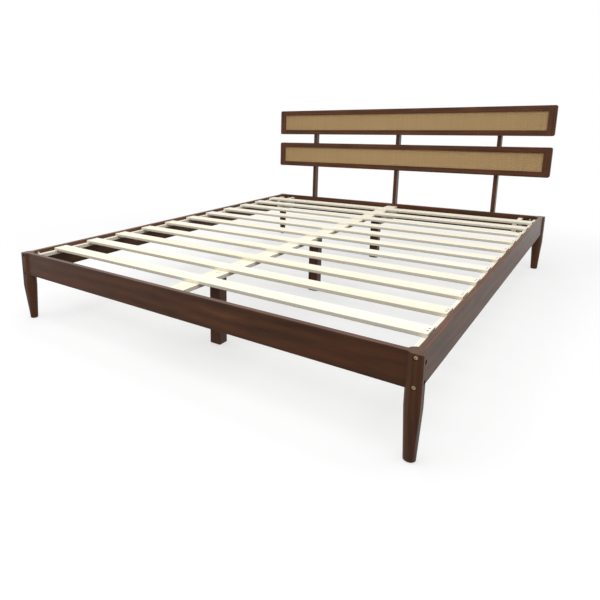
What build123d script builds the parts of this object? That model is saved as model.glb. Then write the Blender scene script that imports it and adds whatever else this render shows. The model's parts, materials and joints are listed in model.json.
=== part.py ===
"""Queen-size slatted bed with a two-panel rattan headboard, built as a knock-down timber frame.

Millimetres. X runs across the bed, Y from foot to head and Z up. The origin is on the floor,
under the middle of the whole length and width.
"""
import os

from build123d import *

# Overall frame
frame_width = 1613.0  # outside faces of the left and right corner legs
frame_length = 2110.0  # outside faces of the foot and head corner legs
frame_height = 285.0  # floor to the top of the legs and rails
glide_thickness = 2.5  # pads under every leg
leg_glide_diameter = 25.0
centre_leg_glide_diameter = 36.0

# Corner legs: round timber that keeps one square corner at the top
leg_width = 45.0
leg_foot_diameter = 31.0
leg_taper_height = 142.0  # the leg is straight above this height
leg_top_round = 1.0
leg_housing = 10.0  # how far each rail end is let into the leg

# Rails
rail_thickness = 19.0
rail_height = 94.0
rail_recess = 8.0  # outer rail face behind the outer leg face
rail_edge_round = 1.5

# Bolts that pull the rails to the legs, with barrel nuts set in the rails
bolt_diameter = 6.0
bolt_length = 65.0
bolt_head_diameter = 12.0
bolt_head_height = 5.0
bolt_sink_depth = 8.0  # depth of the counterbore that takes the head
side_bolt_inset = 19.5  # from the outer side face of the leg
end_bolt_inset = 16.5  # from the outer end face of the leg
side_bolt_drops = (11.0, 86.0)  # below the top of the frame
end_bolt_drops = (21.0, 71.0)
nut_diameter = 10.0
nut_length = 16.0
nut_setback = 30.0  # from the end of the rail to the barrel nut

# Slats, and the battens on the side rails that carry them
slat_count = 11
slat_width = 63.0
slat_thickness = 12.0
slat_drop = 3.0  # slat top below the rail top
slat_end_gap = 5.5  # slat end to the inner face of the side rail
slat_foot_gap = 113.0  # foot rail to the first slat
slat_head_gap = 140.0  # last slat to the head rail
slat_edge_round = 2.0
ledger_width = 20.0
ledger_height = 14.0
ledger_end_gap = 2.0  # from the end of the ledger to the leg

# Centre beam, its three legs, and the bearers at the head end
beam_width = 62.0
beam_thickness = 14.0
centre_leg_width = 45.0
centre_leg_end_gap = 263.0  # end rail to the middle of the nearest centre leg
centre_leg_edge_round = 3.0
cleat_thickness = 20.0
cleat_height = 40.0
bearer_width = 20.0
bearer_inset = 81.5  # side rail to the middle of the outer bearer
bearer_bottom_rise = 9.0  # bearer bottom above the rail bottom
bearer_edge_round = 1.0

# Headboard posts and panels
post_width = 20.0
post_depth = 40.0
post_edge_inset = 253.0  # end of the panel to the middle of the outer post
post_top_drop = 8.0  # post top below the top of the upper panel
post_edge_round = 2.0
panel_top = 863.0
panel_height = 156.0
panel_gap = 58.0
panel_thickness = 26.0
panel_side_inset = 1.5  # panel end inside the outer face of the leg
panel_rail_height = 29.0
panel_stile_width = 37.0
panel_corner_radius = 10.0
panel_edge_round = 1.5
tenon_length = 20.0
tenon_thickness = 9.0
tenon_shoulder = 8.0  # more than the groove depth, so the groove misses the tenon
rattan_thickness = 2.0
rattan_recess = 5.0  # weave face behind the face of its frame
board_thickness = 4.0
groove_depth = 6.0

# Bolts, inserts and screws of the headboard and the deck
insert_diameter = 10.0
insert_length = 14.0
post_bolt_length = 42.0
post_bolt_drops = (22.0, 72.0)
post_bolt_sink_depth = 12.0
panel_screw_inset = 17.0  # from the outer edge of a panel rail
panel_screw_length = 38.0
panel_screw_sink_depth = 20.0
panel_screw_head_diameter = 9.0
panel_screw_head_height = 3.0
panel_screw_diameter = 5.0
wood_screw_diameter = 4.0
wood_screw_head_diameter = 8.0
slat_screw_length = 22.0
slat_screw_spacing = 18.0
ledger_screw_length = 32.0
centre_leg_screw_length = 60.0
centre_leg_screw_spacing = 12.0
cleat_screw_length = 34.0
cleat_screw_spacing = 36.0
bearer_screw_length = 60.0
bearer_screw_spacing = 34.0

# Clearances
hole_clearance = 0.3  # round a shank, head, nut or insert, on the radius
fit_clearance = 0.2  # beyond the end of a tenon, sheet or screw and what takes it

# Places worked out from the sizes above
half_width = frame_width / 2
overall_length = frame_length + post_depth - rail_recess
foot_face = -overall_length / 2
head_face = foot_face + frame_length
rail_inset = rail_recess + rail_thickness
rail_middle = rail_recess + rail_thickness / 2
rail_bottom = frame_height - rail_height
rail_end_inset = leg_width - leg_housing
inner_half_width = half_width - rail_inset
foot_inner = foot_face + rail_inset
head_inner = head_face - rail_inset
head_outer = head_face - rail_recess
slat_top = frame_height - slat_drop
slat_bottom = slat_top - slat_thickness
slat_length = 2 * (inner_half_width - slat_end_gap)
slat_first = foot_inner + slat_foot_gap + slat_width / 2
slat_last = head_inner - slat_head_gap - slat_width / 2
slat_pitch = (slat_last - slat_first) / (slat_count - 1)
beam_bottom = slat_bottom - beam_thickness
bearer_bottom = rail_bottom + bearer_bottom_rise
panel_half_width = half_width - panel_side_inset
panel_back = head_outer
panel_front = panel_back - panel_thickness
post_x = panel_half_width - post_edge_inset
infill_front = panel_front + rattan_recess
infill_thickness = rattan_thickness + board_thickness
bolt_reach = bolt_length + bolt_sink_depth - rail_end_inset + fit_clearance
corners = [(side, end) for side in (-1, 1) for end in (-1, 1)]
side_names = {-1: "left", 1: "right"}
end_names = {-1: "foot", 1: "head"}

os.makedirs("parts", exist_ok=True)


def save(part, name):
    """Name a finished piece and write it out."""
    part.label = name
    export_step(part, f"parts/{name}.step")


def end_y(end, inset):
    """A place measured inwards from the outer face of the foot (-1) or head (1) legs."""
    return foot_face + inset if end < 0 else head_face - inset


def side_x(side, inset):
    """A place measured inwards from the outer face of the left (-1) or right (1) legs."""
    return side * (half_width - inset)


def side_bolt_planes(side, end, inset):
    """Bolt lines into a side rail, facing out of the end face of the leg."""
    return [
        Plane(
            origin=(side_x(side, side_bolt_inset), end_y(end, inset), frame_height - drop),
            z_dir=(0, end, 0),
        )
        for drop in side_bolt_drops
    ]


def end_bolt_planes(side, end, inset):
    """Bolt lines into a foot or head rail, facing out of the side face of the leg."""
    return [
        Plane(
            origin=(side_x(side, inset), end_y(end, end_bolt_inset), frame_height - drop),
            z_dir=(side, 0, 0),
        )
        for drop in end_bolt_drops
    ]


def side_nut_planes(side, end):
    """Barrel nut lines facing out of the inner face of a side rail."""
    return [
        Plane(origin=(side_x(side, rail_inset), plane.origin.Y, plane.origin.Z), z_dir=(-side, 0, 0))
        for plane in side_bolt_planes(side, end, rail_end_inset + nut_setback)
    ]


def end_nut_planes(side, end):
    """Barrel nut lines facing out of the inner face of a foot or head rail."""
    return [
        Plane(origin=(plane.origin.X, end_y(end, rail_inset), plane.origin.Z), z_dir=(0, -end, 0))
        for plane in end_bolt_planes(side, end, rail_end_inset + nut_setback)
    ]


def add_bolts(planes, length, sink_depth):
    """Headed bolts whose heads sit on the floor of a counterbore below each plane."""
    with Locations(*[plane.offset(-sink_depth) for plane in planes]):
        Cylinder(bolt_head_diameter / 2, bolt_head_height, align=(Align.CENTER, Align.CENTER, Align.MIN))
        Cylinder(bolt_diameter / 2, length, align=(Align.CENTER, Align.CENTER, Align.MAX))


def add_wood_screws(planes, length):
    """Countersunk screws with their heads flush with each plane."""
    head_radius = wood_screw_head_diameter / 2
    shank_radius = wood_screw_diameter / 2
    with Locations(*planes):
        Cone(
            shank_radius,
            head_radius,
            head_radius - shank_radius,
            align=(Align.CENTER, Align.CENTER, Align.MAX),
        )
        Cylinder(shank_radius, length, align=(Align.CENTER, Align.CENTER, Align.MAX))


def cut_screw_seats(planes, depth):
    """Countersunk holes that take the wood screws."""
    with Locations(*planes):
        CounterSinkHole(
            wood_screw_diameter / 2 + hole_clearance,
            wood_screw_head_diameter / 2 + hole_clearance,
            depth,
            counter_sink_angle=90,
        )


def cut_holes(planes, radius, depth):
    """Plain round holes going into the wood below each plane."""
    with Locations(*planes):
        Hole(radius + hole_clearance, depth)


# Corner legs: a round section with one square outer corner, lofted down to a round foot
for side, end in corners:
    leg_x = side_x(side, leg_width / 2)
    leg_y = end_y(end, leg_width / 2)
    leg_radius = leg_width / 2
    foot_radius = leg_foot_diameter / 2
    leg_turn = {(1, 1): 0, (-1, 1): 90, (-1, -1): 180, (1, -1): 270}[(side, end)]
    foot_plane = Plane((leg_x, leg_y, glide_thickness)).rotated((0, 0, leg_turn))
    taper_plane = Plane((leg_x, leg_y, leg_taper_height)).rotated((0, 0, leg_turn))
    with BuildPart() as leg:
        with BuildSketch(foot_plane):
            with BuildLine():
                CenterArc((0, 0), foot_radius, 0, 45)
                CenterArc((0, 0), foot_radius, 45, 45)
                CenterArc((0, 0), foot_radius, 90, 270)
            make_face()
        with BuildSketch(taper_plane):
            with BuildLine():
                Line((leg_radius, 0), (leg_radius, leg_radius))
                Line((leg_radius, leg_radius), (0, leg_radius))
                CenterArc((0, 0), leg_radius, 90, 270)
            make_face()
        loft(ruled=True)
        extrude(leg.faces().sort_by(Axis.Z)[-1], amount=frame_height - leg_taper_height)
        chamfer(leg.faces().sort_by(Axis.Z)[-1].edges(), leg_top_round)
        with BuildSketch(Plane.XY.offset(rail_bottom)):
            with Locations((side_x(side, rail_middle), end_y(end, rail_end_inset + leg_width / 2))):
                Rectangle(rail_thickness, leg_width)
            with Locations((side_x(side, rail_end_inset + leg_width / 2), end_y(end, rail_middle))):
                Rectangle(leg_width, rail_thickness)
        extrude(amount=rail_height, mode=Mode.SUBTRACT)
        with Locations(*side_bolt_planes(side, end, 0), *end_bolt_planes(side, end, 0)):
            CounterBoreHole(
                bolt_diameter / 2 + hole_clearance,
                bolt_head_diameter / 2 + hole_clearance,
                bolt_sink_depth,
                leg_width,
            )
    save(leg.part, f"leg_{end_names[end]}_{side_names[side]}")

# Side rails with their ledgers
ledger_half_length = frame_length / 2 - leg_width - ledger_end_gap
frame_middle = (foot_face + head_face) / 2
slat_places = [slat_first + slat_pitch * index for index in range(slat_count)]
ledger_screw_places = [place + slat_pitch / 2 for place in slat_places[:-1:2]]
slat_screw_x = inner_half_width - (ledger_width + slat_end_gap) / 2
ledger_middle_z = slat_bottom - ledger_height / 2


def slat_screw_planes(side, slat_y):
    """Two screws near one end of a slat."""
    return [
        Plane((side * slat_screw_x, slat_y + offset, slat_top))
        for offset in (-slat_screw_spacing / 2, slat_screw_spacing / 2)
    ]


def ledger_screw_planes(side):
    """Screws through a ledger into its side rail, one in every second gap between slats."""
    face_x = side * (inner_half_width - ledger_width)
    return [Plane(origin=(face_x, y, ledger_middle_z), z_dir=(-side, 0, 0)) for y in ledger_screw_places]


for side in side_names:
    with BuildPart() as side_rail:
        with BuildSketch(Plane.XZ.offset(-frame_middle)):
            with Locations((side_x(side, rail_middle), frame_height - rail_height / 2)):
                RectangleRounded(rail_thickness, rail_height, rail_edge_round)
        extrude(amount=frame_length / 2 - rail_end_inset, both=True)
        for end in end_names:
            cut_holes(side_bolt_planes(side, end, rail_end_inset), bolt_diameter / 2, bolt_reach)
            cut_holes(side_nut_planes(side, end), nut_diameter / 2, nut_length)
        cut_holes(
            [plane.offset(-ledger_width) for plane in ledger_screw_planes(side)],
            wood_screw_diameter / 2,
            ledger_screw_length - ledger_width + fit_clearance,
        )
    save(side_rail.part, f"side_rail_{side_names[side]}")

    with BuildPart() as ledger:
        with BuildSketch(Plane.XZ.offset(-frame_middle)):
            with Locations((side * (inner_half_width - ledger_width / 2), ledger_middle_z)):
                Rectangle(ledger_width, ledger_height)
        extrude(amount=ledger_half_length, both=True)
        cut_screw_seats(ledger_screw_planes(side), ledger_width)
        for slat_y in slat_places:
            cut_holes(
                [plane.offset(-slat_thickness) for plane in slat_screw_planes(side, slat_y)],
                wood_screw_diameter / 2,
                slat_screw_length - slat_thickness + fit_clearance,
            )
    save(ledger.part, f"slat_ledger_{side_names[side]}")

with BuildPart() as ledger_screws:
    for side in side_names:
        add_wood_screws(ledger_screw_planes(side), ledger_screw_length)
save(ledger_screws.part, "ledger_screws")

# Foot and head rails between the legs
post_places = [-post_x, 0, post_x]
bearer_places = [-(inner_half_width - bearer_inset), 0, inner_half_width - bearer_inset]
post_bolt_heights = [frame_height - drop for drop in post_bolt_drops]
cleat_middle_z = beam_bottom - cleat_height / 2


def post_planes(x, heights, depth):
    """Fastener lines through a post, facing out of its rear face, sunk to a depth."""
    rear = panel_back + post_depth - depth
    return [Plane(origin=(x, rear, z), z_dir=(0, 1, 0)) for z in heights]


def cleat_screw_planes():
    """Two screws through the beam cleat into the foot rail."""
    face_y = foot_inner + cleat_thickness
    offsets = (-cleat_screw_spacing / 2, cleat_screw_spacing / 2)
    return [Plane(origin=(x, face_y, cleat_middle_z), z_dir=(0, 1, 0)) for x in offsets]


def bearer_screw_planes(x):
    """Two screws from behind the head rail into the end of a bearer: side by side at the beam."""
    middle_z = (bearer_bottom + beam_bottom) / 2
    offsets = (-bearer_screw_spacing / 2, bearer_screw_spacing / 2)
    places = [(offset, middle_z) if x == 0 else (x, middle_z + offset) for offset in offsets]
    return [Plane(origin=(px, head_outer, pz), z_dir=(0, 1, 0)) for px, pz in places]


for end in end_names:
    with BuildPart() as end_rail:
        with BuildSketch(Plane.YZ):
            with Locations((end_y(end, rail_middle), frame_height - rail_height / 2)):
                RectangleRounded(rail_thickness, rail_height, rail_edge_round)
        extrude(amount=half_width - rail_end_inset, both=True)
        for side in side_names:
            cut_holes(end_bolt_planes(side, end, rail_end_inset), bolt_diameter / 2, bolt_reach)
            cut_holes(end_nut_planes(side, end), nut_diameter / 2, nut_length)
        if end < 0:
            cut_holes(
                [plane.offset(-cleat_thickness) for plane in cleat_screw_planes()],
                wood_screw_diameter / 2,
                cleat_screw_length - cleat_thickness + fit_clearance,
            )
        else:
            for x in post_places:
                cut_holes(post_planes(x, post_bolt_heights, post_depth), insert_diameter / 2, insert_length)
            for x in bearer_places:
                cut_screw_seats(bearer_screw_planes(x), rail_thickness)
    save(end_rail.part, f"{end_names[end]}_rail")

# Slats, laid across the ledgers, the beam and, at the head end, the bearers
for index, slat_y in enumerate(slat_places):
    with BuildPart() as slat:
        with BuildSketch(Plane.YZ):
            with Locations((slat_y, slat_top - slat_thickness / 2)):
                RectangleRounded(slat_width, slat_thickness, slat_edge_round)
        extrude(amount=slat_length / 2, both=True)
        for side in side_names:
            cut_screw_seats(slat_screw_planes(side, slat_y), slat_thickness)
    save(slat.part, f"slat_{index + 1:02d}")

with BuildPart() as slat_screws:
    for slat_y in slat_places:
        for side in side_names:
            add_wood_screws(slat_screw_planes(side, slat_y), slat_screw_length)
save(slat_screws.part, "slat_screws")

# Centre beam, lying flat under the slats on three legs
centre_leg_places = {
    "foot": foot_inner + centre_leg_end_gap,
    "middle": frame_middle,
    "head": head_inner - centre_leg_end_gap,
}


def centre_leg_screw_planes(leg_y):
    """Two screws down through the beam into a centre leg."""
    offsets = (-centre_leg_screw_spacing / 2, centre_leg_screw_spacing / 2)
    return [Plane((x, leg_y, slat_bottom)) for x in offsets]


with BuildPart() as centre_beam:
    with Locations((0, frame_middle, beam_bottom)):
        Box(
            beam_width,
            head_inner - foot_inner,
            beam_thickness,
            align=(Align.CENTER, Align.CENTER, Align.MIN),
        )
    for leg_y in centre_leg_places.values():
        cut_screw_seats(centre_leg_screw_planes(leg_y), beam_thickness)
save(centre_beam.part, "centre_beam")

for name, leg_y in centre_leg_places.items():
    with BuildPart() as centre_leg:
        with BuildSketch(Plane.XY.offset(glide_thickness)):
            with Locations((0, leg_y)):
                RectangleRounded(centre_leg_width, centre_leg_width, centre_leg_edge_round)
        extrude(amount=beam_bottom - glide_thickness)
        cut_holes(
            [plane.offset(-beam_thickness) for plane in centre_leg_screw_planes(leg_y)],
            wood_screw_diameter / 2,
            centre_leg_screw_length - beam_thickness + fit_clearance,
        )
    save(centre_leg.part, f"centre_leg_{name}")

with BuildPart() as centre_leg_screws:
    for leg_y in centre_leg_places.values():
        add_wood_screws(centre_leg_screw_planes(leg_y), centre_leg_screw_length)
save(centre_leg_screws.part, "centre_leg_screws")

with BuildPart() as beam_cleat:
    with Locations((0, foot_inner, cleat_middle_z)):
        Box(beam_width, cleat_thickness, cleat_height, align=(Align.CENTER, Align.MIN, Align.CENTER))
    cut_screw_seats(cleat_screw_planes(), cleat_thickness)
save(beam_cleat.part, "beam_cleat")

with BuildPart() as cleat_screws:
    add_wood_screws(cleat_screw_planes(), cleat_screw_length)
save(cleat_screws.part, "cleat_screws")

# Bearers held by the head rail: the outer two carry the last slat, the middle one the beam
outer_bearer_length = slat_head_gap + slat_width
centre_bearer_length = centre_leg_end_gap - centre_leg_width / 2
for x, name in zip(bearer_places, ("left", "centre", "right")):
    bearer_top = beam_bottom if x == 0 else slat_bottom
    width = beam_width if x == 0 else bearer_width
    with BuildPart() as bearer:
        with BuildSketch(Plane.XZ.offset(-head_inner)):
            with Locations((x, (bearer_top + bearer_bottom) / 2)):
                RectangleRounded(width, bearer_top - bearer_bottom, bearer_edge_round)
        extrude(amount=centre_bearer_length if x == 0 else outer_bearer_length)
        cut_holes(
            [plane.offset(-rail_thickness) for plane in bearer_screw_planes(x)],
            wood_screw_diameter / 2,
            bearer_screw_length - rail_thickness + fit_clearance,
        )
    save(bearer.part, f"head_bearer_{name}")

with BuildPart() as bearer_screws:
    for x in bearer_places:
        add_wood_screws(bearer_screw_planes(x), bearer_screw_length)
save(bearer_screws.part, "bearer_screws")

# Headboard panels: mortised frames round a rattan weave on a thin board
panel_tops = {"upper": panel_top, "lower": panel_top - panel_height - panel_gap}
opening_half_width = panel_half_width - panel_stile_width
panel_middle_y = (panel_front + panel_back) / 2
panel_screw_heights = [
    top - inset
    for top in panel_tops.values()
    for inset in (panel_screw_inset, panel_height - panel_screw_inset)
]
infill_half_width = opening_half_width + groove_depth - fit_clearance
infill_height = panel_height - 2 * (panel_rail_height - groove_depth + fit_clearance)
groove_height = panel_height - 2 * (panel_rail_height - groove_depth)

screw_rise = panel_height / 2 - panel_screw_inset
panel_screw_reach = panel_screw_length + panel_screw_sink_depth - post_depth + fit_clearance

for name, top in panel_tops.items():
    middle_z = top - panel_height / 2
    for edge, edge_name in ((1, "top"), (-1, "bottom")):
        rail_z = middle_z + edge * (panel_height - panel_rail_height) / 2
        with BuildPart() as panel_rail:
            with BuildSketch(Plane.YZ):
                with Locations((panel_middle_y, rail_z)):
                    RectangleRounded(panel_thickness, panel_rail_height, panel_edge_round)
            extrude(amount=opening_half_width, both=True)
            with Locations((0, panel_middle_y, rail_z)):
                Box(
                    2 * (opening_half_width + tenon_length),
                    tenon_thickness,
                    panel_rail_height - 2 * tenon_shoulder,
                )
            with Locations((0, infill_front, middle_z)):
                Box(
                    2 * (opening_half_width + groove_depth),
                    infill_thickness + fit_clearance,
                    groove_height,
                    align=(Align.CENTER, Align.MIN, Align.CENTER),
                    mode=Mode.SUBTRACT,
                )
            for x in post_places:
                screw_plane = post_planes(x, [middle_z + edge * screw_rise], post_depth)
                cut_holes(screw_plane, panel_screw_diameter / 2, panel_screw_reach)
        save(panel_rail.part, f"{name}_panel_{edge_name}_rail")

    for side in side_names:
        with BuildPart() as stile:
            with BuildSketch(Plane.XZ.offset(-panel_front)):
                with Locations((side * (opening_half_width + panel_stile_width / 2), middle_z)):
                    Rectangle(panel_stile_width, panel_height)
            extrude(amount=-panel_thickness)
            outer_edges = stile.edges().filter_by(Axis.Y).group_by(Axis.X)[-1 if side > 0 else 0]
            fillet(outer_edges, panel_corner_radius)
            with Locations((side * opening_half_width, infill_front, middle_z)):
                Box(
                    2 * groove_depth,
                    infill_thickness + fit_clearance,
                    groove_height,
                    align=(Align.CENTER, Align.MIN, Align.CENTER),
                    mode=Mode.SUBTRACT,
                )
            for edge in (1, -1):
                rail_z = middle_z + edge * (panel_height - panel_rail_height) / 2
                with Locations((side * opening_half_width, panel_middle_y, rail_z)):
                    Box(
                        2 * (tenon_length + fit_clearance),
                        tenon_thickness,
                        panel_rail_height - 2 * tenon_shoulder,
                        mode=Mode.SUBTRACT,
                    )
        save(stile.part, f"{name}_panel_stile_{side_names[side]}")

    for layer, layer_front, thickness in (
        ("rattan", infill_front, rattan_thickness),
        ("backing_board", infill_front + rattan_thickness, board_thickness),
    ):
        with BuildPart() as sheet:
            with Locations((0, layer_front, middle_z)):
                Box(
                    2 * infill_half_width,
                    thickness,
                    infill_height,
                    align=(Align.CENTER, Align.MIN, Align.CENTER),
                )
        save(sheet.part, f"{name}_{layer}")

# Headboard posts behind the head rail and the panels
post_top = panel_top - post_top_drop
for x, name in zip(post_places, ("left", "centre", "right")):
    with BuildPart() as post:
        with BuildSketch(Plane.XY.offset(rail_bottom)):
            with Locations((x, panel_back + post_depth / 2)):
                RectangleRounded(post_width, post_depth, post_edge_round)
        extrude(amount=post_top - rail_bottom)
        with Locations(*post_planes(x, post_bolt_heights, 0)):
            CounterBoreHole(
                bolt_diameter / 2 + hole_clearance,
                bolt_head_diameter / 2 + hole_clearance,
                post_bolt_sink_depth,
                post_depth,
            )
        with Locations(*post_planes(x, panel_screw_heights, 0)):
            CounterBoreHole(
                panel_screw_diameter / 2 + hole_clearance,
                panel_screw_head_diameter / 2 + hole_clearance,
                panel_screw_sink_depth,
                post_depth,
            )
    save(post.part, f"headboard_post_{name}")

with BuildPart() as post_bolts:
    for x in post_places:
        add_bolts(post_planes(x, post_bolt_heights, 0), post_bolt_length, post_bolt_sink_depth)
save(post_bolts.part, "post_bolts")

with BuildPart() as post_inserts:
    for x in post_places:
        insert_planes = post_planes(x, post_bolt_heights, post_depth)
        with Locations(*insert_planes):
            Cylinder(insert_diameter / 2, insert_length, align=(Align.CENTER, Align.CENTER, Align.MAX))
        cut_holes(insert_planes, bolt_diameter / 2, insert_length)
save(post_inserts.part, "post_inserts")

with BuildPart() as panel_screws:
    for x in post_places:
        with Locations(*post_planes(x, panel_screw_heights, panel_screw_sink_depth)):
            Cylinder(
                panel_screw_head_diameter / 2,
                panel_screw_head_height,
                align=(Align.CENTER, Align.CENTER, Align.MIN),
            )
            Cylinder(
                panel_screw_diameter / 2,
                panel_screw_length,
                align=(Align.CENTER, Align.CENTER, Align.MAX),
            )
save(panel_screws.part, "panel_screws")

# Bolts and barrel nuts that hold the rails to the legs
with BuildPart() as side_rail_bolts:
    for side, end in corners:
        add_bolts(side_bolt_planes(side, end, 0), bolt_length, bolt_sink_depth)
save(side_rail_bolts.part, "side_rail_bolts")

with BuildPart() as end_rail_bolts:
    for side, end in corners:
        add_bolts(end_bolt_planes(side, end, 0), bolt_length, bolt_sink_depth)
save(end_rail_bolts.part, "end_rail_bolts")


def add_barrel_nuts(nut_planes, bolt_planes):
    """Cross-drilled nuts let in from the inner face of a rail."""
    with Locations(*nut_planes):
        Cylinder(nut_diameter / 2, nut_length, align=(Align.CENTER, Align.CENTER, Align.MAX))
    cut_holes(bolt_planes, bolt_diameter / 2, 2 * nut_diameter)


nut_hole_inset = rail_end_inset + nut_setback - nut_diameter
with BuildPart() as side_rail_nuts:
    for side, end in corners:
        add_barrel_nuts(side_nut_planes(side, end), side_bolt_planes(side, end, nut_hole_inset))
save(side_rail_nuts.part, "side_rail_barrel_nuts")

with BuildPart() as end_rail_nuts:
    for side, end in corners:
        add_barrel_nuts(end_nut_planes(side, end), end_bolt_planes(side, end, nut_hole_inset))
save(end_rail_nuts.part, "end_rail_barrel_nuts")

# Glides under the corner legs and the centre legs
with BuildPart() as leg_glides:
    for side, end in corners:
        with Locations((side_x(side, leg_width / 2), end_y(end, leg_width / 2), 0)):
            Cylinder(leg_glide_diameter / 2, glide_thickness, align=(Align.CENTER, Align.CENTER, Align.MIN))
save(leg_glides.part, "leg_glides")

with BuildPart() as centre_leg_glides:
    for leg_y in centre_leg_places.values():
        with Locations((0, leg_y, 0)):
            Cylinder(
                centre_leg_glide_diameter / 2,
                glide_thickness,
                align=(Align.CENTER, Align.CENTER, Align.MIN),
            )
save(centre_leg_glides.part, "centre_leg_glides")
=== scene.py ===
import json
import math

import bmesh
import bpy
from mathutils import Matrix, Vector


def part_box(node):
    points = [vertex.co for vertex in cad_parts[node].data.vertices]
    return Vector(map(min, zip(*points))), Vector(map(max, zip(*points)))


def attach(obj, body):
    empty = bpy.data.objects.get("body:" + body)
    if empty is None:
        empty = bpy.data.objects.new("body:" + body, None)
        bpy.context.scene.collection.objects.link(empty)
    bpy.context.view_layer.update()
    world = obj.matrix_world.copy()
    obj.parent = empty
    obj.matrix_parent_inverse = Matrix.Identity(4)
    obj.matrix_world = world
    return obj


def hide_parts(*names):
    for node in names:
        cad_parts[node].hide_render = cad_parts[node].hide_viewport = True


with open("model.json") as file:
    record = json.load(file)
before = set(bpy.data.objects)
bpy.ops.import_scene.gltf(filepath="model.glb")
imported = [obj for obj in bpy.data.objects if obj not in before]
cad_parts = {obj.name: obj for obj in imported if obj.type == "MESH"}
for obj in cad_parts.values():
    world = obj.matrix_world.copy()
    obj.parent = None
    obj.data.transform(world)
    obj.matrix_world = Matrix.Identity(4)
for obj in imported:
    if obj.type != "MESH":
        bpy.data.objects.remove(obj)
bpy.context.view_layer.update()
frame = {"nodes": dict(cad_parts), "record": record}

scene = bpy.context.scene
cadNodes = frame["nodes"]
nodeSlots = {row["node"]: row["material_slot"] for row in frame["record"]["subparts"]}
axisNames = "XYZ"
mm = 0.001
print("frame loaded with", len(cadNodes), "nodes")


def linear(code):
    # sRGB hex to the linear colour that shaders take
    channels = [int(code[place:place + 2], 16) / 255 for place in (1, 3, 5)]
    bent = [c / 12.92 if c <= 0.04045 else ((c + 0.055) / 1.055) ** 2.4 for c in channels]
    return (*bent, 1.0)


def fillInputs(tree, node, inputs):
    # sets each input to a plain value, or links it to a socket or to a node's first output
    for name, value in inputs.items():
        if isinstance(value, bpy.types.Node):
            value = value.outputs[0]
        if isinstance(value, bpy.types.NodeSocket):
            tree.links.new(value, node.inputs[name])
        else:
            node.inputs[name].default_value = value


def addNode(tree, kind, inputs=None, **settings):
    # adds one node with its settings and inputs, and gives it back
    node = tree.nodes.new(kind)
    for name, value in settings.items():
        setattr(node, name, value)
    fillInputs(tree, node, inputs or {})
    return node


maths = "ShaderNodeMath"


def newMaterial(name):
    material = bpy.data.materials.new(name)
    material.use_nodes = True
    material.node_tree.nodes.clear()
    return material, material.node_tree


def setRamp(ramp, tones):
    elements = ramp.color_ramp.elements
    while len(elements) < len(tones):
        elements.new(0.5)
    for element, (place, tone) in zip(elements, tones):
        element.position = place
        element.color = linear(tone)


# Rubberwood under a dark walnut stain and satin lacquer: red-brown with faint growth rings, darker pore
# streaks along the grain, and a pale sheen where a face is seen at a low angle
walnutLook = {
    "tones": ((0.0, "#391F11"), (0.4, "#51311C"), (0.7, "#623C25"), (1.0, "#7B5036")),
    "poreTone": "#23140C",
    "patchTone": "#6F3824",
    "patchShare": 0.4,
    "ringSpacing": 9.0,  # mm between growth rings
    "ringWander": 9.0,
    "ringStretch": 0.18,  # how slowly the figure changes along the board
    "driftSize": 36.0,  # mm, patches where the stain took more or less
    "poreWidth": 1.6,  # mm, real pores of 0.3 mm wouldn't show
    "poreStretch": 0.035,
    "poreShare": 0.35,
    "ior": 1.5,
    "faceGloss": "#BCBCBC",  # the sheen seen straight on is weaker than a full lacquer's
    "roughness": (0.36, 0.44),
    "poreDepth": 0.12,  # mm
}

# White pine, planed and left bare: cream with a soft straight grain and hardly any gloss
pineLook = {
    "tones": ((0.0, "#ECE0C0"), (0.35, "#F6EFDA"), (0.7, "#FAF6E8"), (1.0, "#FDFBF3")),
    "poreTone": "#DCC89E",
    "patchTone": "#F5E6CC",
    "patchShare": 0.3,
    "ringSpacing": 7.0,
    "ringWander": 6.0,
    "ringStretch": 0.05,
    "driftSize": 90.0,
    "poreWidth": 1.4,
    "poreStretch": 0.03,
    "poreShare": 0.25,
    "ior": 1.4,
    "faceGloss": "#FFFFFF",
    "roughness": (0.55, 0.68),
    "poreDepth": 0.15,
}

# Thin rotary-cut plywood stained tan behind the weave: broad soft figure and a dull face
plywoodLook = {
    "tones": ((0.0, "#7A5E3C"), (0.35, "#856841"), (0.7, "#8D6F49"), (1.0, "#A08159")),
    "poreTone": "#5E452A",
    "patchTone": "#8E6A45",
    "patchShare": 0.3,
    "ringSpacing": 14.0,
    "ringWander": 12.0,
    "ringStretch": 0.08,
    "driftSize": 120.0,
    "poreWidth": 1.5,
    "poreStretch": 0.05,
    "poreShare": 0.3,
    "ior": 1.4,
    "faceGloss": "#FFFFFF",
    "roughness": (0.6, 0.75),
    "poreDepth": 0.1,
}

# How rings, stain and fibres add up in every wood, each range in the units of its noise
grainRule = {
    "waveRepeat": 0.314,  # m between rings of a wave texture at scale 1
    "waveDetail": 0.12,
    "ringShare": 0.2,
    "driftShare": 0.9,
    "fibreShare": 0.4,
    "fibreScale": 0.5,  # noise cells for each pore width
    "patchScale": 0.7,  # patches are larger than the drift
    "toneRange": (0.4, 1.1),
    "poreRange": (0.56, 0.7),
    "patchRange": (0.5, 0.72),
    "glossRange": (0.3, 0.75),
    "bumpStrength": 0.6,
}


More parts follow.
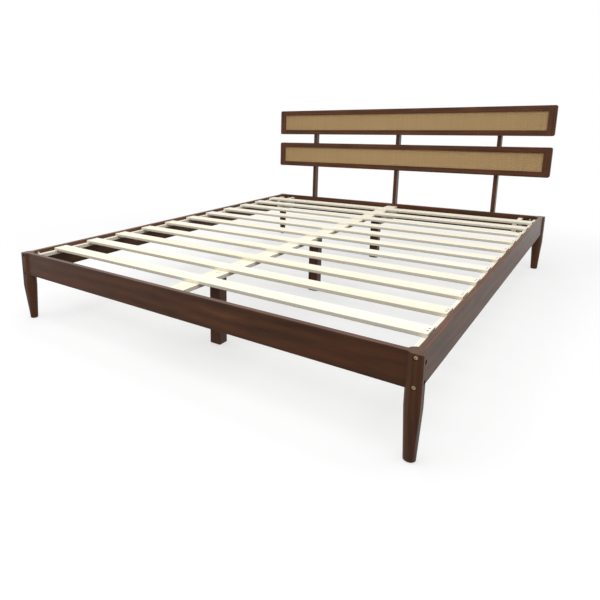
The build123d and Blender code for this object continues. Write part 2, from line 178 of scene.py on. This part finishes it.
def woodMaterial(name, look, axis):
    # axis is the way the grain runs, along the piece
    material, tree = newMaterial(f"{name}Along{axisNames[axis]}")
    place = addNode(tree, "ShaderNodeTexCoord").outputs["Object"]
    stretched = []
    for kind in ("ringStretch", "poreStretch"):
        scale = [1.0, 1.0, 1.0]
        scale[axis] = look[kind]
        stretched.append(addNode(tree, "ShaderNodeMapping", {"Vector": place, "Scale": scale}))
    figure, pores = stretched
    rings = addNode(tree, "ShaderNodeTexWave", {
        "Vector": figure, "Scale": grainRule["waveRepeat"] / (look["ringSpacing"] * mm),
        "Distortion": look["ringWander"], "Detail": 2.0, "Detail Scale": grainRule["waveDetail"],
    }, wave_type="RINGS", rings_direction=axisNames[axis]).outputs["Fac"]
    drift = addNode(tree, "ShaderNodeTexNoise", {
        "Vector": figure, "Scale": 1 / (look["driftSize"] * mm), "Detail": 3.0, "Roughness": 0.55,
    }).outputs["Fac"]
    fibre = addNode(tree, "ShaderNodeTexNoise", {
        "Vector": pores, "Scale": grainRule["fibreScale"] / (look["poreWidth"] * mm),
        "Detail": 3.0, "Roughness": 0.6,
    }).outputs["Fac"]
    patch = addNode(tree, "ShaderNodeTexNoise", {
        "Vector": figure, "Scale": grainRule["patchScale"] / (look["driftSize"] * mm),
        "Detail": 2.0, "Roughness": 0.5,
    }).outputs["Color"]

    tone = addNode(tree, maths, {0: rings, 1: grainRule["ringShare"]}, operation="MULTIPLY")
    for source, share in ((drift, "driftShare"), (fibre, "fibreShare")):
        tone = addNode(tree, maths, {0: source, 1: grainRule[share], 2: tone}, operation="MULTIPLY_ADD")
    toneFrom, toneTo = grainRule["toneRange"]
    spread = addNode(tree, "ShaderNodeMapRange", {"Value": tone, "From Min": toneFrom, "From Max": toneTo})
    ramp = addNode(tree, "ShaderNodeValToRGB", {"Fac": spread})
    setRamp(ramp, look["tones"])

    patchFrom, patchTo = grainRule["patchRange"]
    patchMask = addNode(tree, "ShaderNodeMapRange", {
        "Value": patch, "From Min": patchFrom, "From Max": patchTo, "To Max": look["patchShare"],
    })
    patched = addNode(tree, "ShaderNodeMix", {
        0: patchMask, 6: ramp, 7: linear(look["patchTone"]),
    }, data_type="RGBA")
    poreFrom, poreTo = grainRule["poreRange"]
    poreMask = addNode(tree, "ShaderNodeMapRange", {"Value": fibre, "From Min": poreFrom, "From Max": poreTo})
    poreAmount = addNode(tree, maths, {0: poreMask, 1: look["poreShare"]}, operation="MULTIPLY")
    colour = addNode(tree, "ShaderNodeMix", {
        0: poreAmount, 6: patched.outputs[2], 7: linear(look["poreTone"]),
    }, data_type="RGBA")

    glossFrom, glossTo = grainRule["glossRange"]
    smoothest, roughest = look["roughness"]
    rough = addNode(tree, "ShaderNodeMapRange", {
        "Value": fibre, "From Min": glossFrom, "From Max": glossTo, "To Min": smoothest, "To Max": roughest,
    })
    bump = addNode(tree, "ShaderNodeBump", {
        "Height": fibre, "Strength": grainRule["bumpStrength"], "Distance": look["poreDepth"] * mm,
    })
    shader = addNode(tree, "ShaderNodeBsdfPrincipled", {
        "Base Color": colour.outputs[2], "Roughness": rough, "Normal": bump, "IOR": look["ior"],
        "Specular Tint": linear(look["faceGloss"]),
    })
    addNode(tree, "ShaderNodeOutputMaterial", {"Surface": shader})
    return material


def grainAxis(node):
    low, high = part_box(node)
    spans = high - low
    return max(range(3), key=lambda axis: spans[axis])


woodLooks = {
    "walnut_stained_wood": ("walnutLacquer", walnutLook),
    "pine_wood": ("planedPine", pineLook),
    "plywood": ("tanPlywood", plywoodLook),
}
woodMaterials = {}
for node, slot in nodeSlots.items():
    if slot in woodLooks:
        key = (slot, grainAxis(node))
        if key not in woodMaterials:
            woodMaterials[key] = woodMaterial(*woodLooks[slot], key[1])
        cadNodes[node].material_slots[0].material = woodMaterials[key]
print("wood finished with", len(woodMaterials), "materials")


def metalMaterial(name, look):
    # a plated or blackened skin whose tone and gloss drift over a few millimetres
    material, tree = newMaterial(name)
    place = addNode(tree, "ShaderNodeTexCoord").outputs["Object"]
    drift = addNode(tree, "ShaderNodeTexNoise", {
        "Vector": place, "Scale": 1 / (look["speckle"] * mm), "Detail": 3.0,
    })
    ramp = addNode(tree, "ShaderNodeValToRGB", {"Fac": drift})
    setRamp(ramp, ((0.3, look["darkTone"]), (0.65, look["tone"])))
    smoothest, roughest = look["roughness"]
    rough = addNode(tree, "ShaderNodeMapRange", {
        "Value": drift, "From Min": 0.3, "From Max": 0.7, "To Min": smoothest, "To Max": roughest,
    })
    shader = addNode(tree, "ShaderNodeBsdfPrincipled", {
        "Base Color": ramp, "Roughness": rough, "Metallic": 1.0,
    })
    addNode(tree, "ShaderNodeOutputMaterial", {"Surface": shader})
    return material


# Speckle in mm
brassLook = {"tone": "#CDBC99", "darkTone": "#A8946F", "roughness": (0.3, 0.45), "speckle": 2.5}
zincLook = {"tone": "#DCDDDE", "darkTone": "#BFC1C2", "roughness": (0.35, 0.5), "speckle": 3.0}
blackLook = {"tone": "#35322F", "darkTone": "#1E1C1A", "roughness": (0.35, 0.55), "speckle": 2.0}
metalFinishes = {
    "brass_plated_steel": metalMaterial("brassPlatedSteel", brassLook),  # warm pale gold
    "zinc_plated_steel": metalMaterial("zincPlatedSteel", zincLook),  # cool light grey
    "black_steel": metalMaterial("blackenedSteel", blackLook),  # soot black, dull
}

nylonLook = {
    "tone": "#1B1B1C",
    "grain": 1.2,  # mm
    "grainDepth": 0.1,  # mm
    "roughness": 0.55,
    "ior": 1.53,
}


def nylonMaterial():
    # moulded nylon: black, dull, with a faint grain from the mould
    material, tree = newMaterial("blackNylon")
    place = addNode(tree, "ShaderNodeTexCoord").outputs["Object"]
    grain = addNode(tree, "ShaderNodeTexNoise", {
        "Vector": place, "Scale": 1 / (nylonLook["grain"] * mm), "Detail": 2.0,
    })
    bump = addNode(tree, "ShaderNodeBump", {
        "Height": grain, "Strength": 0.4, "Distance": nylonLook["grainDepth"] * mm,
    })
    shader = addNode(tree, "ShaderNodeBsdfPrincipled", {
        "Base Color": linear(nylonLook["tone"]), "Roughness": nylonLook["roughness"], "IOR": nylonLook["ior"],
        "Normal": bump,
    })
    addNode(tree, "ShaderNodeOutputMaterial", {"Surface": shader})
    return material


nylon = nylonMaterial()
for node, slot in nodeSlots.items():
    if slot in metalFinishes:
        cadNodes[node].material_slots[0].material = metalFinishes[slot]
    elif slot == "black_nylon":
        cadNodes[node].material_slots[0].material = nylon
print("metal and nylon finished")

caneLook = {
    "tones": ((0.0, "#C6A473"), (1.0, "#D1B182")),
    "patchSize": 9.0,  # mm
    "patchShare": 0.6,
    "toneRange": (0.2, 1.4),
    "fibreSize": 1.0,  # mm, real fibres of 0.2 mm wouldn't show
    "fibreDepth": 0.06,  # mm
    "roughness": 0.6,
    "ior": 1.4,
}


def rattanMaterial():
    # peeled cane, woven flat: tan strips, each of its own tone, with fine fibres along it and a dry sheen
    material, tree = newMaterial("wovenRattanCane")
    place = addNode(tree, "ShaderNodeTexCoord").outputs["Object"]
    strip = addNode(tree, "ShaderNodeAttribute", attribute_name="stripTone").outputs["Fac"]
    patch = addNode(tree, "ShaderNodeTexNoise", {
        "Vector": place, "Scale": 1 / (caneLook["patchSize"] * mm), "Detail": 2.0,
    })
    both = addNode(tree, maths, {0: patch, 1: caneLook["patchShare"], 2: strip}, operation="MULTIPLY_ADD")
    toneFrom, toneTo = caneLook["toneRange"]
    spread = addNode(tree, "ShaderNodeMapRange", {"Value": both, "From Min": toneFrom, "From Max": toneTo})
    ramp = addNode(tree, "ShaderNodeValToRGB", {"Fac": spread})
    setRamp(ramp, caneLook["tones"])
    fibre = addNode(tree, "ShaderNodeTexNoise", {
        "Vector": place, "Scale": 1 / (caneLook["fibreSize"] * mm), "Detail": 2.0,
    })
    bump = addNode(tree, "ShaderNodeBump", {
        "Height": fibre, "Strength": 0.4, "Distance": caneLook["fibreDepth"] * mm,
    })
    shader = addNode(tree, "ShaderNodeBsdfPrincipled", {
        "Base Color": ramp, "Normal": bump, "Roughness": caneLook["roughness"], "IOR": caneLook["ior"],
    })
    addNode(tree, "ShaderNodeOutputMaterial", {"Surface": shader})
    return material


def addSockets(tree, sockets):
    # named inputs of a node group, by name and kind
    for name, kind in sockets.items():
        tree.interface.new_socket(name, in_out="INPUT", socket_type=f"NodeSocket{kind}")
    tree.interface.new_socket("Mesh", in_out="OUTPUT", socket_type="NodeSocketGeometry")
    return tree.nodes.new("NodeGroupInput").outputs


def growMesh(name, tree, values, start):
    # runs a node group on a start mesh and keeps the result as a plain mesh at the origin
    grower = bpy.data.objects.new(f"{name}Grower", start)
    scene.collection.objects.link(grower)
    modifier = grower.modifiers.new("grow", "NODES")
    modifier.node_group = tree
    identifiers = {
        item.name: item.identifier for item in tree.interface.items_tree
        if item.item_type == "SOCKET" and item.in_out == "INPUT"
    }
    for label, value in values.items():
        modifier[identifiers[label]] = value
    graph = bpy.context.evaluated_depsgraph_get()
    mesh = bpy.data.meshes.new_from_object(grower.evaluated_get(graph))
    grower.modifiers.remove(modifier)
    bpy.data.objects.remove(grower)
    piece = bpy.data.objects.new(name, mesh)
    scene.collection.objects.link(piece)
    return piece


def finishPiece(piece, node):
    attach(piece, "root")
    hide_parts(node)


weaveLook = {
    "pitch": 4.6,  # mm between strips, cane webbing has 4 to 7
    "stripWidth": 4.3,  # mm
    "stripThickness": 0.5,  # mm
    "swing": 0.3,  # mm, how far a strip passes in front of and behind the sheet's middle
    "columns": 335,  # odd, as the rows, so that the crossings sit the same about the middle
    "rows": 23,
    "seed": 7,
}


def stripBar(tree, given, crossed, across):
    # one flat strip as a bar with three corners, its points a quarter pitch each side of every crossing
    barWidth = 1.732  # of a three-cornered bar with a radius of 1
    barDepth = 1.5
    segments = addNode(tree, maths, {0: crossed, 1: 2.0, 2: -1.0}, operation="MULTIPLY_ADD")
    pitches = addNode(tree, maths, {0: crossed, 1: 0.5}, operation="SUBTRACT")
    length = addNode(tree, maths, {0: pitches, 1: given["Pitch"]}, operation="MULTIPLY")
    bar = addNode(tree, "GeometryNodeMeshCylinder", {
        "Vertices": 3, "Radius": 1.0, "Side Segments": segments, "Depth": length,
    })
    place = addNode(tree, "ShaderNodeSeparateXYZ", {0: addNode(tree, "GeometryNodeInputPosition")}).outputs
    widthScale = addNode(tree, maths, {0: given["Strip Width"], 1: barWidth}, operation="DIVIDE")
    width = addNode(tree, maths, {0: place[1], 1: widthScale}, operation="MULTIPLY")
    depthScale = addNode(tree, maths, {0: given["Strip Thickness"], 1: -barDepth}, operation="DIVIDE")
    depth = addNode(tree, maths, {0: place[0], 1: depthScale}, operation="MULTIPLY")
    if across:
        width = addNode(tree, maths, {0: width, 1: -1.0}, operation="MULTIPLY")
    alongName, widthName = ("X", "Z") if across else ("Z", "X")
    moved = addNode(tree, "ShaderNodeCombineXYZ", {alongName: place[2], "Y": depth, widthName: width})
    return addNode(tree, "GeometryNodeSetPosition", {"Geometry": bar, "Position": moved})


def crossingWave(tree, given, across):
    # how far a strip swings from the sheet's middle, in front at one crossing and behind at the next
    place = addNode(tree, "ShaderNodeSeparateXYZ", {0: addNode(tree, "GeometryNodeInputPosition")}).outputs
    cosines = []
    for socket, whole in ((place[0], not across), (place[2], across)):
        turns = addNode(tree, maths, {0: socket, 1: given["Pitch"]}, operation="DIVIDE")
        if whole:
            turns = addNode(tree, maths, {0: turns}, operation="ROUND")
        angle = addNode(tree, maths, {0: turns, 1: math.pi}, operation="MULTIPLY")
        cosines.append(addNode(tree, maths, {0: angle}, operation="COSINE"))
    wave = addNode(tree, maths, {0: cosines[0], 1: cosines[1]}, operation="MULTIPLY")
    wave = addNode(tree, maths, {0: wave, 1: given["Swing"]}, operation="MULTIPLY")
    wave = addNode(tree, maths, {0: wave, 1: -1.0 if across else 1.0}, operation="MULTIPLY")
    return addNode(tree, "ShaderNodeCombineXYZ", {"Y": wave})


def weaveTree():
    # crowned strips run across and up the sheet, and each passes over one and under the next
    tree = bpy.data.node_groups.new("wovenCane", "GeometryNodeTree")
    given = addSockets(tree, {
        "Start": "Geometry", "Pitch": "Float", "Strip Width": "Float", "Strip Thickness": "Float",
        "Swing": "Float", "Columns": "Int", "Rows": "Int", "Centre": "Vector", "Seed": "Int",
        "Cane": "Material",
    })
    joined = addNode(tree, "GeometryNodeJoinGeometry")
    for across in (True, False):
        count, crossed = (given["Rows"], given["Columns"]) if across else (given["Columns"], given["Rows"])
        strip = stripBar(tree, given, crossed, across)
        step = addNode(tree, "ShaderNodeCombineXYZ", {"Z" if across else "X": given["Pitch"]})
        gaps = addNode(tree, maths, {0: count, 1: 1.0}, operation="SUBTRACT")
        firstPlace = addNode(tree, maths, {0: gaps, 1: -0.5}, operation="MULTIPLY")
        first = addNode(tree, "ShaderNodeVectorMath", {0: step, "Scale": firstPlace}, operation="SCALE")
        line = addNode(tree, "GeometryNodeMeshLine", {
            "Count": count, "Start Location": first, "Offset": step,
        }, mode="OFFSET")
        placed = addNode(tree, "GeometryNodeInstanceOnPoints", {"Points": line, "Instance": strip})
        toneSeed = addNode(tree, maths, {0: given["Seed"], 1: 1.0 if across else 0.0}, operation="ADD")
        tone = addNode(tree, "FunctionNodeRandomValue", {"Seed": toneSeed}, data_type="FLOAT").outputs[1]
        toned = addNode(tree, "GeometryNodeStoreNamedAttribute", {
            "Geometry": placed, "Name": "stripTone", "Value": tone,
        }, domain="INSTANCE")
        loose = addNode(tree, "GeometryNodeRealizeInstances", {"Geometry": toned})
        wave = crossingWave(tree, given, across)
        swung = addNode(tree, "GeometryNodeSetPosition", {"Geometry": loose, "Offset": wave})
        fillInputs(tree, joined, {0: swung})
    moved = addNode(tree, "GeometryNodeSetPosition", {"Geometry": joined, "Offset": given["Centre"]})
    smooth = addNode(tree, "GeometryNodeSetShadeSmooth", {"Geometry": moved})
    plain = addNode(tree, "GeometryNodeRealizeInstances", {"Geometry": smooth})
    finished = addNode(tree, "GeometryNodeSetMaterial", {"Geometry": plain, "Material": given["Cane"]})
    addNode(tree, "NodeGroupOutput", {0: finished})
    return tree


cane = rattanMaterial()
caneTree = weaveTree()
for node, name in (("upper_rattan", "upperWeave"), ("lower_rattan", "lowerWeave")):
    low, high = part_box(node)
    values = {
        "Pitch": weaveLook["pitch"] * mm, "Strip Width": weaveLook["stripWidth"] * mm,
        "Strip Thickness": weaveLook["stripThickness"] * mm, "Swing": weaveLook["swing"] * mm,
        "Columns": weaveLook["columns"], "Rows": weaveLook["rows"], "Centre": (low + high) / 2,
        "Seed": weaveLook["seed"] + len(name), "Cane": cane,
    }
    weave = growMesh(name, caneTree, values, bpy.data.meshes.new(name))
    finishPiece(weave, node)
    print(name, "woven with", len(weave.data.polygons), "faces")

# Sizes in mm. A cross recess takes a screwdriver and the others a hex key
boltLook = {
    "head": 10.4, "under": 10.4, "headHeight": 5.0, "shank": 6.0, "recess": 5.0, "depth": 2.8, "cross": False,
    "tip": 4.6,
}
panScrewLook = {
    "head": 9.0, "under": 9.0, "headHeight": 3.0, "shank": 5.0, "recess": 5.2, "depth": 1.8, "cross": True,
    "tip": 0.8,
}
sunkScrewLook = {
    "head": 8.0, "under": 4.0, "headHeight": 2.0, "shank": 4.0, "recess": 4.8, "depth": 1.4, "cross": True,
    "tip": 0.6,
}
fastenerLooks = {
    "side_rail_bolts": ("sideRailBolts", boltLook),
    "end_rail_bolts": ("endRailBolts", boltLook),
    "post_bolts": ("postBolts", boltLook),
    "panel_screws": ("panelScrews", panScrewLook),
    "slat_screws": ("slatScrews", sunkScrewLook),
    "ledger_screws": ("ledgerScrews", sunkScrewLook),
    "centre_leg_screws": ("centreLegScrews", sunkScrewLook),
    "cleat_screws": ("cleatScrews", sunkScrewLook),
    "bearer_screws": ("bearerScrews", sunkScrewLook),
}

turnedLook = {
    "corners": 24,  # a multiple of 12, so that hex and cross recesses have corners to use
    "bevel": 0.5,  # mm, round the rim of the head
    "neck": 0.4,  # mm below the head where the shank begins
    "armShare": 0.15,  # half an arm's width against the width of a cross recess
    "recessFloor": 0.8,  # of the width at the top
    "creaseAngle": 25,  # degrees from which an edge stays crisp
}


def recessEdge(tree, given, place):
    # how far the recess's edge is from the axis, for a hex key or a screwdriver
    hexCorner = math.radians(30)
    crossCorner = math.radians(45)
    smallestSine = 0.01  # keeps the arm's length finite along its middle
    angle = addNode(tree, maths, {0: place[1], 1: place[0]}, operation="ARCTAN2")
    halfRecess = addNode(tree, maths, {0: given["Recess"], 1: 0.5}, operation="MULTIPLY")
    sixth = addNode(tree, maths, {0: angle, 1: hexCorner}, operation="PINGPONG")
    fromFlat = addNode(tree, maths, {0: hexCorner, 1: sixth}, operation="SUBTRACT")
    flatShare = addNode(tree, maths, {0: fromFlat}, operation="COSINE")
    hexEdge = addNode(tree, maths, {0: halfRecess, 1: flatShare}, operation="DIVIDE")
    eighth = addNode(tree, maths, {0: angle, 1: crossCorner}, operation="PINGPONG")
    endShare = addNode(tree, maths, {0: eighth}, operation="COSINE")
    armEnd = addNode(tree, maths, {0: halfRecess, 1: endShare}, operation="DIVIDE")
    halfArm = addNode(tree, maths, {0: given["Recess"], 1: turnedLook["armShare"]}, operation="MULTIPLY")
    sine = addNode(tree, maths, {0: eighth}, operation="SINE")
    sideShare = addNode(tree, maths, {0: sine, 1: smallestSine}, operation="MAXIMUM")
    armSide = addNode(tree, maths, {0: halfArm, 1: sideShare}, operation="DIVIDE")
    crossEdge = addNode(tree, maths, {0: armEnd, 1: armSide}, operation="MINIMUM")
    return addNode(
        tree, "GeometryNodeSwitch", {0: given["Cross Recess"], 1: hexEdge, 2: crossEdge}, input_type="FLOAT",
    )


def turnedBar(tree, given):
    # a turned bar of eight rings, from the tip to the floor of the recess, its head's face at the origin
    ringCount = 8
    bar = addNode(tree, "GeometryNodeMeshCylinder", {
        "Vertices": turnedLook["corners"], "Side Segments": ringCount - 1,
        "Radius": 1.0, "Depth": float(ringCount - 1),
    })
    place = addNode(tree, "ShaderNodeSeparateXYZ", {0: addNode(tree, "GeometryNodeInputPosition")}).outputs
    ringPlace = addNode(tree, maths, {0: place[2], 1: (ringCount - 1) / 2}, operation="ADD")
    ring = addNode(tree, maths, {0: ringPlace}, operation="ROUND")
    edge = recessEdge(tree, given, place)
    bevel = turnedLook["bevel"] * mm
    halves = {
        name: addNode(tree, maths, {0: given[name], 1: 0.5}, operation="MULTIPLY")
        for name in ("Head", "Shank", "Under", "Tip")
    }
    rim = addNode(tree, maths, {0: halves["Head"], 1: bevel}, operation="SUBTRACT")
    recessFloor = addNode(tree, maths, {0: edge, 1: turnedLook["recessFloor"]}, operation="MULTIPLY")
    below = addNode(tree, maths, {0: given["Head Height"], 1: -1.0}, operation="MULTIPLY")
    neck = addNode(tree, maths, {0: below, 1: turnedLook["neck"] * mm}, operation="SUBTRACT")
    tipEnd = addNode(tree, maths, {0: given["Length"], 1: -1.0}, operation="MULTIPLY")
    tipHeight = addNode(tree, maths, {0: given["Shank"], 1: given["Tip"]}, operation="SUBTRACT")
    shankEnd = addNode(tree, maths, {0: tipEnd, 1: tipHeight}, operation="ADD")
    recessDepth = addNode(tree, maths, {0: given["Recess Depth"], 1: -1.0}, operation="MULTIPLY")
    radii = [halves[name] for name in ("Tip", "Shank", "Shank", "Under", "Head")] + [rim, edge, recessFloor]
    heights = [tipEnd, shankEnd, neck, below, -bevel, 0.0, 0.0, recessDepth]
    picked = []
    for column in (radii, heights):
        switch = addNode(tree, "GeometryNodeIndexSwitch", data_type="FLOAT")
        while len(switch.index_switch_items) < ringCount:
            switch.index_switch_items.new()
        fillInputs(tree, switch, {0: ring, **dict(enumerate(column, 1))})
        picked.append(switch)
    turned = addNode(tree, "ShaderNodeCombineXYZ", {
        "X": addNode(tree, maths, {0: place[0], 1: picked[0]}, operation="MULTIPLY"),
        "Y": addNode(tree, maths, {0: place[1], 1: picked[0]}, operation="MULTIPLY"),
        "Z": picked[1],
    })
    return addNode(tree, "GeometryNodeSetPosition", {"Geometry": bar, "Position": turned})


def fastenerTree():
    # the turned bar set on each place with its head along the place's axis, each turned by its own amount
    tree = bpy.data.node_groups.new("headedFastener", "GeometryNodeTree")
    given = addSockets(tree, {
        "Places": "Geometry", "Head": "Float", "Under": "Float", "Head Height": "Float", "Shank": "Float",
        "Recess": "Float", "Recess Depth": "Float", "Cross Recess": "Bool", "Tip": "Float", "Length": "Float",
        "Seed": "Int", "Metal": "Material",
    })
    shaped = turnedBar(tree, given)
    axis = addNode(tree, "GeometryNodeInputNamedAttribute", {"Name": "axis"}, data_type="FLOAT_VECTOR")
    upright = addNode(tree, "FunctionNodeAlignRotationToVector", {"Vector": axis}, axis="Z")
    spin = addNode(tree, "FunctionNodeRandomValue", {
        "Max": math.pi, "Seed": given["Seed"],
    }, data_type="FLOAT")
    spinTurn = addNode(tree, "ShaderNodeCombineXYZ", {"Z": spin.outputs[1]})
    spun = addNode(tree, "FunctionNodeRotateRotation", {0: upright, 1: spinTurn}, rotation_space="LOCAL")
    placed = addNode(tree, "GeometryNodeInstanceOnPoints", {
        "Points": given["Places"], "Instance": shaped, "Rotation": spun,
    })
    plain = addNode(tree, "GeometryNodeRealizeInstances", {"Geometry": placed})
    smooth = addNode(tree, "GeometryNodeSetShadeSmooth", {"Geometry": plain})
    creased = addNode(tree, maths, {
        0: addNode(tree, "GeometryNodeInputMeshEdgeAngle"), 1: math.radians(turnedLook["creaseAngle"]),
    }, operation="GREATER_THAN")
    sharp = addNode(tree, "GeometryNodeStoreNamedAttribute", {
        "Geometry": smooth, "Name": "sharp_edge", "Value": creased,
    }, data_type="BOOLEAN", domain="EDGE")
    finished = addNode(tree, "GeometryNodeSetMaterial", {"Geometry": sharp, "Material": given["Metal"]})
    addNode(tree, "NodeGroupOutput", {0: finished})
    return tree


def nodeIslands(node):
    # the separate bodies of a CAD node, each as its corner points, from a merged copy of its loose triangles
    shape = bmesh.new()
    shape.from_mesh(cadNodes[node].data)
    bmesh.ops.remove_doubles(shape, verts=shape.verts, dist=0.01 * mm)
    islands = []
    visited = set()
    for start in shape.verts:
        if start in visited:
            continue
        visited.add(start)
        reached = [start]
        found = [start]
        while reached:
            for edge in reached.pop().link_edges:
                for vertex in edge.verts:
                    if vertex not in visited:
                        visited.add(vertex)
                        reached.append(vertex)
                        found.append(vertex)
        islands.append([vertex.co.copy() for vertex in found])
    shape.free()
    return islands


def headPlace(points):
    # where the middle of a fastener's head is, the way it faces, and the whole length
    endDepth = 0.2 * mm  # points this near an end belong to its face
    low = Vector([min(point[axis] for point in points) for axis in range(3)])
    high = Vector([max(point[axis] for point in points) for axis in range(3)])
    spans = high - low
    axis = max(range(3), key=lambda place: spans[place])
    middle = (low + high) / 2
    reach = {}
    for end in (low[axis], high[axis]):
        offsets = [point - middle for point in points if abs(point[axis] - end) < endDepth]
        for offset in offsets:
            offset[axis] = 0
        reach[end] = max(offset.length for offset in offsets)
    head = max(reach, key=reach.get)
    facing = Vector((0, 0, 0))
    facing[axis] = 1.0 if head == high[axis] else -1.0
    middle[axis] = head
    return middle, facing, spans[axis]


boltTree = fastenerTree()
for node, (name, look) in fastenerLooks.items():
    heads = [headPlace(island) for island in nodeIslands(node)]
    places = bpy.data.meshes.new(f"{name}Places")
    places.from_pydata([place for place, _, _ in heads], [], [])
    axes = places.attributes.new("axis", "FLOAT_VECTOR", "POINT")
    for row, (_, facing, _) in zip(axes.data, heads):
        row.vector = facing
    values = {
        "Head": look["head"] * mm, "Under": look["under"] * mm, "Head Height": look["headHeight"] * mm,
        "Shank": look["shank"] * mm, "Recess": look["recess"] * mm, "Recess Depth": look["depth"] * mm,
        "Cross Recess": look["cross"], "Tip": look["tip"] * mm, "Length": heads[0][2], "Seed": len(node),
        "Metal": metalFinishes[nodeSlots[node]],
    }
    piece = growMesh(name, boltTree, values, places)
    finishPiece(piece, node)
    print(name, "made for", len(heads), "places with", len(piece.data.polygons), "faces")

floorLook = {
    "radius": 9.0,  # m
    "corners": 96,
    "drop": 0.1,  # mm below the glides
    "fadeStart": 1.5,  # m from the middle of the bed, where the floor begins to turn into the background
    "fadeEnd": 2.7,
    "backgroundShare": 0.55,  # how much of the white background the camera sees in the floor
    "seenTone": "#FFFFFF",  # what the camera sees
    "bounceTone": "#54483C",  # what lights the bed from below
}


def seenRays(tree):
    # 1 for rays that show the background: camera, glossy and transmission rays
    rays = addNode(tree, "ShaderNodeLightPath").outputs
    direct = addNode(tree, maths, {0: rays["Is Camera Ray"], 1: rays["Is Glossy Ray"]}, operation="MAXIMUM")
    return addNode(tree, maths, {0: direct, 1: rays["Is Transmission Ray"]}, operation="MAXIMUM")


def floorMaterial():
    # seamless matte paper: pale, without gloss, fading into the white background
    material, tree = newMaterial("palePaperFloor")
    place = addNode(tree, "ShaderNodeTexCoord").outputs["Object"]
    distance = addNode(tree, "ShaderNodeVectorMath", {0: place}, operation="LENGTH").outputs["Value"]
    fade = addNode(tree, "ShaderNodeMapRange", {
        "Value": distance, "From Min": floorLook["fadeStart"], "From Max": floorLook["fadeEnd"],
        "To Min": floorLook["backgroundShare"], "To Max": 1.0,
    }, interpolation_type="SMOOTHSTEP")
    share = addNode(tree, maths, {0: fade, 1: seenRays(tree)}, operation="MULTIPLY")
    tone = addNode(tree, "ShaderNodeMix", {
        0: addNode(tree, "ShaderNodeLightPath").outputs["Is Camera Ray"],
        6: linear(floorLook["bounceTone"]), 7: linear(floorLook["seenTone"]),
    }, data_type="RGBA")
    paper = addNode(tree, "ShaderNodeBsdfDiffuse", {"Color": tone.outputs[2]})
    white = addNode(tree, "ShaderNodeEmission", {"Color": (1, 1, 1, 1), "Strength": 1.0})
    mixed = addNode(tree, "ShaderNodeMixShader", {0: share, 1: paper, 2: white})
    addNode(tree, "ShaderNodeOutputMaterial", {"Surface": mixed})
    return material


floorMesh = bpy.data.meshes.new("floor")
floorShape = bmesh.new()
bmesh.ops.create_circle(floorShape, cap_ends=True, segments=floorLook["corners"], radius=floorLook["radius"])
bmesh.ops.translate(floorShape, verts=floorShape.verts, vec=(0, 0, -floorLook["drop"] * mm))
floorShape.to_mesh(floorMesh)
floorShape.free()
floor = bpy.data.objects.new("floor", floorMesh)
floor.data.materials.append(floorMaterial())
scene.collection.objects.link(floor)

lightLook = {
    "skyStrength": 0.55,  # soft light from all round
    "backdropStrength": 1.0,  # the white that the camera and reflections see
    "lampPower": 153.0,  # W
    "lampSize": 6.0,  # m
    "lampPlace": (0.2, -1.8, 3.7),
}
world = bpy.data.worlds.new("studio")
world.use_nodes = True
worldTree = world.node_tree
worldTree.nodes.clear()
scene.world = world
sky, backdrop = (
    addNode(worldTree, "ShaderNodeBackground", {"Color": (1, 1, 1, 1), "Strength": lightLook[name]})
    for name in ("skyStrength", "backdropStrength")
)
blend = addNode(worldTree, "ShaderNodeMixShader", {0: seenRays(worldTree), 1: sky, 2: backdrop})
addNode(worldTree, "ShaderNodeOutputWorld", {"Surface": blend})

lampData = bpy.data.lights.new("overheadPanel", "AREA")
lampData.shape = "SQUARE"
lampData.size = lightLook["lampSize"]
lampData.energy = lightLook["lampPower"]
lamp = bpy.data.objects.new("overheadPanel", lampData)
lamp.location = lightLook["lampPlace"]
lamp.visible_camera = False
lamp.visible_glossy = False
scene.collection.objects.link(lamp)
print("floor and lights set")

cameraLook = {
    "place": (1.1086, -2.2269, 0.8129),  # m
    "yaw": -38.803,  # degrees from +Y
    "pitch": -12.097,
    "roll": -0.760,
    "lens": 31.32,
    "sensor": 36.0,  # mm
    "shift": (0.1566, -0.1140),
}
yaw, pitch, roll = (math.radians(cameraLook[name]) for name in ("yaw", "pitch", "roll"))
ahead = Vector((math.sin(yaw) * math.cos(pitch), math.cos(yaw) * math.cos(pitch), math.sin(pitch)))
level = Vector((math.cos(yaw), -math.sin(yaw), 0))
right = Matrix.Rotation(-roll, 3, ahead) @ level
up = right.cross(ahead)
turn = Matrix((right, up, -ahead)).transposed().to_4x4()
cameraData = bpy.data.cameras.new("camera")
cameraData.sensor_width = cameraLook["sensor"]
cameraData.lens = cameraLook["lens"]
cameraData.shift_x, cameraData.shift_y = cameraLook["shift"]
camera = bpy.data.objects.new("camera", cameraData)
camera.matrix_world = Matrix.Translation(cameraLook["place"]) @ turn
scene.collection.objects.link(camera)
scene.camera = camera

scene.view_settings.view_transform = "Standard"
